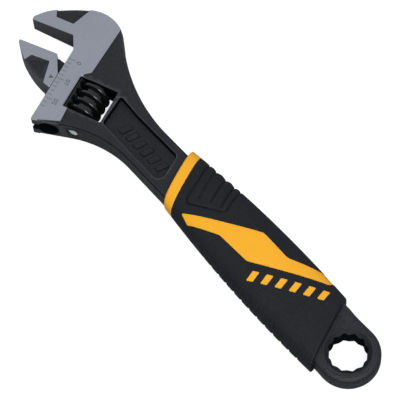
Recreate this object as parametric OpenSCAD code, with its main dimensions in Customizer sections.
// Adjustable wrench with a box end and a two-material grip, 200 mm size.
// Seven pieces: forged body, sliding jaw, worm, worm pin, spring, grip core and grip cover.
//
// Handle frame: the box end is centred on the Z axis and the head lies along +X.
// Head frame: local +X runs along the jaw faces, from the throat to the tips, and
// local +Y is the way the movable jaw opens. It starts where both faces' planes meet.

/* [Head] */
// Angle between the jaw faces and the handle
head_angle = 22.5; // [20:0.5:25]
// Jaw opening at rest
opening = 10.5; // [9:0.5:12]
// Half thickness of the forged head
head_half = 5.25; // [5:0.05:5.5]
// Half thickness of the jaws at their tips
tip_half = 3.65; // [3.4:0.05:4]
// How far the ground faces stand above the forged skin
pad_rise = 0.25; // [0.15:0.05:0.3]
// Reach of the jaws past the slide face
jaw_reach = 22.9; // [22:0.1:24]
// Length of the slide face, up to its open end
slide_end = 42.3; // [41.5:0.1:43]

/* [Shank and box end] */
// Distance from the box end's centre to the head's corner, along the handle
head_x = 175.2; // [174:0.2:177]
// Sideways place of the head's corner
head_y = -10; // [-11:0.2:-9]
// Half thickness of the shank and of the box end
shank_half = 4.3; // [4:0.1:4.6]
// Depth of the pocket in each face of the shank
pocket_depth = 2; // [1:0.1:2.2]
// Height of the plain bars on the pocket's floor
bar_rise = 0.4; // [0.2:0.1:0.6]
// Outer radius of the box end
ring_r = 12.75; // [12.5:0.05:13]
// Size of the twelve-point opening, across its flats
ring_af = 14; // [13:0.5:14.5]

/* [Worm and slide] */
// Radius of the sliding jaw's round rail
rail_r = 4.1; // [4:0.05:4.2]
// Depth of the rail's axis behind the slide face
rail_depth = 6.9; // [6.8:0.05:7]
// Half thickness of the neck between jaw and rail
neck_half = 1.8; // [1.6:0.1:2]
// Lead of the worm, which is the pitch of the rack
lead = 3.7; // [3.6:0.05:3.8]
// Radius over the worm's thread
worm_r = 6.8; // [6.7:0.05:6.9]
// Depth of the worm's axis behind the slide face
worm_depth = 16.6; // [16.5:0.05:16.8]
// Radius of the worm pin
pin_r = 1.6; // [1.5:0.05:1.7]

/* [Grip] */
// Half width of the grip where it is widest
grip_half_w = 15.5; // [15:0.1:16]
// Half thickness of the grip where it is thickest
grip_half_t = 8; // [7.5:0.1:8.5]
// Thickness of the soft cover
cover_t = 1.8; // [1.4:0.1:2]
// Front end of the grip
grip_front = 100.9; // [100:0.1:102]
// Rear end of the grip
grip_rear = 10.9; // [10.5:0.1:11.5]
// Length of the collar in front of the cover
collar_len = 5; // [4:0.1:6]

/* [Hidden] */
$fn = 64;

steel = [0.63, 0.65, 0.68];
black_steel = [0.19, 0.2, 0.22];
yellow = [0.98, 0.68, 0.13];
black_rubber = [0.1, 0.1, 0.11];

arc_step = 6;       // degrees between points of a rounding arc
fit_gap = 0.1;      // clearance of the slide and of the worm on its pin
fixed_recess_depth = 0.6;
nose_recess_depth = 1;
far = 60;           // reach of cutting shapes
window_low = 15.5;  // the worm window, along the slide
window_high = 30.8;
window_near = -8.8; // its side at the rail
window_far = -25.9; // its side at the shank
slide_low = 0.3;    // closed end of the neck's slot
bore_low = -4.8;    // closed end of the rail's bore
rail_low = opening - 4;     // ends of the rail at rest
rail_high = opening + 23.5;
worm_len = 14.8;
worm_mid = (window_low + window_high) / 2;
thread_start = 17.1;    // place of a thread crest on the slide side
worm_root = worm_r - 1.95;
spring_r = 2.3;
spring_wire = 0.25;
spring_len = 5;
pin_head_r = 2.2;
pin_head = 3.4;     // length of the pin's head
pin_low = 9.6;
pin_high = 37.5;
slant = tan(head_angle);
jaw_taper = (head_half - tip_half) / (jaw_reach - 2);

// ---- Helpers ----
function unit(v) = v / norm(v);

// Row-frame place of a point given in the head frame.
function head_point(a, b) = [
    head_x + a * cos(head_angle) - b * sin(head_angle),
    head_y + a * sin(head_angle) + b * cos(head_angle)
];

// A head-frame point with its rounding radius, for a row-frame outline.
function head_corner(a, b, r) = [head_point(a, b).x, head_point(a, b).y, r];

// The points of the arc that rounds corner i of an outline of [x, y, radius] points.
function corner_arc(pts, i) =
    let (
        n = len(pts),
        p = [pts[i].x, pts[i].y],
        u = unit([pts[(i + n - 1) % n].x, pts[(i + n - 1) % n].y] - p),
        v = unit([pts[(i + 1) % n].x, pts[(i + 1) % n].y] - p),
        half = acos(u * v) / 2,
        r = pts[i].z,
        c = p + unit(u + v) * r / sin(half),
        s = p + u * r / tan(half) - c,
        e = p + v * r / tan(half) - c,
        start = atan2(s.y, s.x),
        turn = atan2(e.y, e.x) - start,
        sweep = turn > 180 ? turn - 360 : turn < -180 ? turn + 360 : turn,
        steps = max(2, ceil(abs(sweep) / arc_step))
    )
    r == 0 ? [p] : [for (k = [0:steps]) c + r * [cos(start + sweep * k / steps), sin(start + sweep * k / steps)]];

function rounded(pts) = [for (i = [0:len(pts) - 1]) each corner_arc(pts, i)];

// Moves a shape from the head frame to the handle frame.
module in_head() {
    translate([head_x, head_y, 0]) rotate(head_angle) children();
}

// A plate over an outline, centred on the middle plane.
module plate(pts, half = far) {
    linear_extrude(height = 2 * half, center = true) polygon(rounded(pts));
}

// A round bar along the head frame's Y axis.
module slide_bar(depth, r, low, high) {
    translate([-depth, low, 0]) rotate([-90, 0, 0]) cylinder(h = high - low, r = r);
}

// ---- Outlines ----
body_outline = [
    [0, -12.6, 0],
    [20, -12.2, 60],
    [100, -8.6, 80],
    [141.6, -8.1, 73.5],
    [173.3, -30.1, 16],
    head_corner(8, -11.9, 40),
    head_corner(18.9, -6.6, 17),
    head_corner(jaw_reach, -1.8, 0.8),
    head_corner(jaw_reach, 0, 0.4),
    head_corner(3.45, 0, 0.8),
    head_corner(0, 5.97, 0.5),
    head_corner(0, slide_end, 0.8),
    [134.7, 10.6, 45],
    [100, 10.7, 80],
    [20, 12.2, 60],
    [0, 12.6, 0]
];

// The forged faces behind the ground band. Its front edge is given in the head frame.
forged_outline = [
    [-20, -far, 0],
    head_corner(-13.6, -20, 0),
    head_corner(-12.2, 12.4, 0.6),
    head_corner(window_near - 1, window_low - 1, 0),
    head_corner(window_near - 1, window_high - 0.5, 0),
    head_corner(-11.1, window_high - 0.5, 0),
    head_corner(-11.6, 37.8, 0),
    head_corner(-3, 41.1, 0),
    head_corner(-3, far, 0),
    [-20, far, 0]
];

// The recess on the back of the fixed jaw, in the head frame.
fixed_recess = [
    [5.9, -4.8, 0.6],
    [1, -18, 0],
    [19, -16, 0],
    [14.1, -5, 0.6]
];

// The pocket in the shank.
pocket = [
    [107.6, -5.3, 2.2],
    [132, -4.9, 40],
    [143.2, -5.4, 1],
    [138.6, 8, 1.6],
    [102.6, 8, 3]
];

// One of the bars on the pocket's floor, and the pitch of their row.
pocket_bar = [
    [106.7, -0.2, 0.4],
    [109.3, -0.2, 0.4],
    [110.5, 4.8, 0.4],
    [107.9, 4.8, 0.4]
];
pocket_bar_pitch = 4.5;

// The sliding jaw's nose at rest, in the head frame. Its back is one long arc.
nose_outline = [
    [0.1, opening + 8.3, 0.3],
    [5.05, opening, 0.8],
    [jaw_reach, opening, 0.4],
    [jaw_reach - 0.2, opening + 1.2, 0.6],
    [13.9, opening + 11.5, 36],
    [0.1, opening + 15.6, 0.6]
];

// The neck between the nose and the rail. It runs out past the nose's cut-off corner.
neck_outline = [
    [-rail_depth, opening + 1.9, 0],
    [0.2, opening + 1.9, 0],
    [1.3, opening + 1.1, 0],
    [4.3, opening + 0.3, 0],
    [5.6, opening + 0.9, 0],
    [5.6, opening + 6, 0],
    [0.6, opening + 15.2, 0],
    [-rail_depth, opening + 15.2, 0]
];

nose_recess = [
    [6.1, opening + 4.5, 0.6],
    [14.6, opening + 4.8, 0.6],
    [19, opening + 14, 0],
    [2.2, opening + 20, 0]
];

// ---- Thickness ----
// The space over a line of [x, z] points, and the same space below the middle plane.
module beyond(line) {
    for (side = [0, 1]) mirror([0, 0, side])
        rotate([90, 0, 0]) linear_extrude(height = 2 * far, center = true)
            polygon(concat(line, [[line[len(line) - 1].x, far], [line[0].x, far]]));
}

// Everything beyond the forged skin of the shank and head.
module beyond_skin() {
    beyond([[-30, shank_half], [122, shank_half], [147, head_half], [220, head_half]]);
}

// Everything beyond the ground faces of the jaws, which get thinner to the tips, less a depth.
module beyond_jaw(depth = 0) {
    full = head_half + pad_rise - depth;
    in_head() beyond([[2, full], [far, full - (far - 2) * jaw_taper]]);
}

// ---- Body ----
// The box end's outer shape, with rounded edges. Its top is left high, for the skin to be cut.
module ring_blank() {
    round_z = 2.6;
    round_x = 1.8;
    edge = [for (t = [0:15:90]) [ring_r - round_x * (1 - cos(t)), shank_half - round_z * (1 - sin(t))]];
    half = concat(edge, [[ring_r - round_x, shank_half + 0.5], [0, shank_half + 0.5]]);
    rotate_extrude() polygon(concat([for (i = [len(half) - 1:-1:0]) [half[i].x, -half[i].y]], half));
}

// The twelve-point opening is two hexagons, with a lead-in cone on each side.
module ring_opening() {
    lead_in = 1.2;
    for (turn = [0, 30]) rotate(turn)
        cylinder(h = 2 * far, r = ring_af / sqrt(3), center = true, $fn = 6);
    for (side = [0, 1]) mirror([0, 0, side]) translate([0, 0, shank_half - lead_in])
        cylinder(h = lead_in + 1, r1 = ring_af / 2 + 0.3, r2 = ring_af / 2 + 0.3 + 1.6 * (lead_in + 1));
}

module wrench_body() {
    color(black_steel) difference() {
        union() {
            ring_blank();
            plate(body_outline, head_half + pad_rise);
        }
        ring_opening();
        // The forged skin lies below the ground faces.
        intersection() {
            plate(forged_outline);
            beyond_skin();
        }
        beyond_jaw();
        // Pockets in both faces of the shank, and the recess on the jaw's back.
        for (side = [0, 1]) mirror([0, 0, side]) difference() {
            translate([0, 0, far + shank_half - pocket_depth]) plate(pocket);
            for (k = [0:5]) translate([k * pocket_bar_pitch, 0, 0])
                plate(pocket_bar, shank_half - pocket_depth + bar_rise);
        }
        intersection() {
            in_head() plate(fixed_recess);
            beyond_jaw(fixed_recess_depth);
        }
        in_head() {
            // The worm window.
            translate([window_far, window_low, -far])
                cube([window_near - window_far, window_high - window_low, 2 * far]);
            // The rail's bore and the slot for the neck, open at the slide's end.
            slide_bar(rail_depth, rail_r + fit_gap, bore_low, far);
            translate([-rail_depth, slide_low, -neck_half - fit_gap])
                cube([rail_depth + far, far, 2 * (neck_half + fit_gap)]);
            // The pin's hole, with room for its head.
            slide_bar(worm_depth, pin_r + 0.02, pin_low - 0.4, far);
            slide_bar(worm_depth, pin_head_r + 0.02, pin_high - pin_head - 0.1, far);
        }
    }
}

// ---- Sliding jaw ----
module movable_jaw() {
    tooth_root = -rail_depth - rail_r + 1.65;
    mouth = 1.75;   // half width of a groove, 3 mm out from its root
    color(steel) difference() {
        union() {
            difference() {
                in_head() plate(nose_outline, head_half + pad_rise);
                beyond_jaw();
            }
            in_head() {
                plate(neck_outline, neck_half);
                slide_bar(rail_depth, rail_r, rail_low, rail_high);
            }
        }
        intersection() {
            in_head() plate(nose_recess);
            beyond_jaw(nose_recess_depth);
        }
        // The rack: a groove between each pair of teeth, in step with the worm's thread.
        in_head() for (k = [-4:5]) {
            mid = thread_start + k * lead;
            if (mid + mouth > rail_low && mid - mouth < rail_high)
                linear_extrude(height = 2 * far, center = true) polygon([
                    [tooth_root, mid - 0.95],
                    [tooth_root, mid + 0.95],
                    [tooth_root - 3, mid + mouth],
                    [tooth_root - 3, mid - mouth]
                ]);
        }
    }
}

// ---- Worm ----
// Radius of the worm at angle t, from the slide side over the top face, and place y along the slide.
function thread_wave(t, y) = cos(360 * (y - thread_start) / lead - t);
function thread_r(t, y) =
    worm_root + (worm_r - worm_root) * min(1, max(0, 0.38 + 0.95 * thread_wave(t, y)));
// The thread fades out at both faces.
function end_fade(y) = min(1, max(0, (worm_len / 2 - abs(y - worm_mid)) / 0.7));

module worm_blank() {
    around = 48;
    along = 64;
    function place(i, j) =
        let (
            y = worm_mid - worm_len / 2 + worm_len * j / along,
            t = 360 * i / around,
            r = worm_root - 0.5 + (thread_r(t, y) - worm_root + 0.5) * end_fade(y)
        )
        [-worm_depth + r * cos(t), y, r * sin(t)];
    polyhedron(
        points = [for (j = [0:along]) for (i = [0:around - 1]) place(i, j)],
        faces = concat(
            [for (j = [0:along - 1]) for (i = [0:around - 1]) each [
                [j * around + i, j * around + (i + 1) % around, (j + 1) * around + i],
                [j * around + (i + 1) % around, (j + 1) * around + (i + 1) % around, (j + 1) * around + i]
            ]],
            [[for (i = [around - 1:-1:0]) i]],
            [[for (i = [0:around - 1]) along * around + i]]
        )
    );
}

module worm() {
    color(black_steel) in_head() difference() {
        worm_blank();
        slide_bar(worm_depth, pin_r + fit_gap, 0, far);
        slide_bar(worm_depth, spring_r + spring_wire + 0.25, window_high - spring_len - 0.2, far);
    }
}

// ---- Pin and spring ----
module worm_pin() {
    color(steel) in_head() difference() {
        union() {
            slide_bar(worm_depth, pin_r, pin_low, pin_high - 1);
            slide_bar(worm_depth, pin_head_r, pin_high - pin_head, pin_high);
        }
        translate([-worm_depth - far / 2, pin_high - 1, -0.4]) cube([far, 2, 0.8]);
    }
}

// The spring is a round wire swept along a helix round the pin.
module worm_spring() {
    turns = 5;
    steps = 16;
    sides = 8;
    low = window_high - spring_len - 0.1 + spring_wire;
    rise = spring_len - 0.1 - 2 * spring_wire;
    rings = turns * steps;
    function wire_point(i, k) =
        let (t = 360 * i / steps, u = 360 * k / sides, r = spring_r + spring_wire * cos(u))
        [-worm_depth + r * cos(t), low + rise * i / rings + spring_wire * sin(u), r * sin(t)];
    color(steel) in_head() polyhedron(
        points = [for (i = [0:rings]) for (k = [0:sides - 1]) wire_point(i, k)],
        faces = concat(
            [for (i = [0:rings - 1]) for (k = [0:sides - 1]) each [
                [i * sides + k, (i + 1) * sides + k, i * sides + (k + 1) % sides],
                [i * sides + (k + 1) % sides, (i + 1) * sides + k, (i + 1) * sides + (k + 1) % sides]
            ]],
            [[for (k = [0:sides - 1]) k]],
            [[for (k = [sides - 1:-1:0]) rings * sides + k]]
        )
    );
}

// ---- Grip ----
// Half width and half thickness of the grip at station s, in planes parallel to the slide.
function narrowing(s) = pow((s - 38) / 62, 2);
function grip_w(s) = grip_half_w - 3.5 * narrowing(s);
function grip_t(s) = grip_half_t - 0.8 * narrowing(s);

// A superellipse, so the top is flat and the sides are round.
function super(c) = sign(c) * pow(abs(c), 2 / 2.8);

// The grip's shape between two stations, taken in by inset on all sides.
module grip_shape(from, to, inset = 0) {
    around = 48;
    along = 14;
    function place(i, j) =
        let (s = from + (to - from) * j / along, t = 360 * i / around)
        let (y = (grip_w(s) - inset) * super(cos(t)))
        [s - slant * y, y, (grip_t(s) - inset) * super(sin(t))];
    polyhedron(
        points = [for (j = [0:along]) for (i = [0:around - 1]) place(i, j)],
        faces = concat(
            [for (j = [0:along - 1]) for (i = [0:around - 1]) each [
                [j * around + i, (j + 1) * around + i, j * around + (i + 1) % around],
                [j * around + (i + 1) % around, (j + 1) * around + i, (j + 1) * around + (i + 1) % around]
            ]],
            [[for (i = [0:around - 1]) i]],
            [[for (i = [around - 1:-1:0]) along * around + i]]
        )
    );
}

// The bolt-shaped inlay that shows through the cover on both faces.
inlay_outline = [
    [23.4, -18, 0],
    [25, -12.2, 1.5],
    [52.8, 5.3, 5],
    [68.3, 5.9, 4],
    [81, 11.9, 1],
    [86.4, 10.5, 0.4],
    [57.8, -7.8, 4],
    [43.5, -7.6, 5],
    [31.5, -13.9, 4],
    [28.5, -18, 0]
];

// A row of slanted bars beside the inlay.
module grip_marks() {
    for (k = [0:5]) {
        along = k / 5;
        translate([22.5 + 24 * along, -7.5 + 15.2 * along, 0]) rotate(32)
            plate([[-2.1, -2.2, 0], [0.6, -2.2, 0], [2.1, 2.2, 0], [-0.6, 2.2, 0]]);
    }
}

module inlay_zone() {
    plate(inlay_outline);
    grip_marks();
}

// The steel that the grip is moulded round.
module steel_core() {
    plate(body_outline, shank_half);
}

module grip_core() {
    cover_front = grip_front - collar_len;
    color(yellow) difference() {
        union() {
            grip_shape(cover_front, grip_front);
            grip_shape(grip_rear + 2.5, cover_front + 1, cover_t);
            intersection() {
                grip_shape(grip_rear, cover_front);
                inlay_zone();
            }
        }
        steel_core();
    }
}

module grip_cover() {
    cover_front = grip_front - collar_len;
    color(black_rubber) difference() {
        grip_shape(grip_rear, cover_front);
        grip_shape(grip_rear + 2.5, cover_front + 1, cover_t);
        inlay_zone();
        steel_core();
    }
}

// ---- Place on the table ----
// The origin is under the middle of the whole wrench, at the grip's underside.
body_pts = rounded(body_outline);
x_high = max([for (p = body_pts) p.x]);
y_low = min([for (p = body_pts) p.y]);
y_high = max([for (p = body_pts) p.y]);

module placed() {
    translate([(ring_r - x_high) / 2, -(y_low + y_high) / 2, grip_half_t]) children();
}

placed() wrench_body();
placed() movable_jaw();
placed() worm();
placed() worm_pin();
placed() worm_spring();
placed() grip_core();
placed() grip_cover();
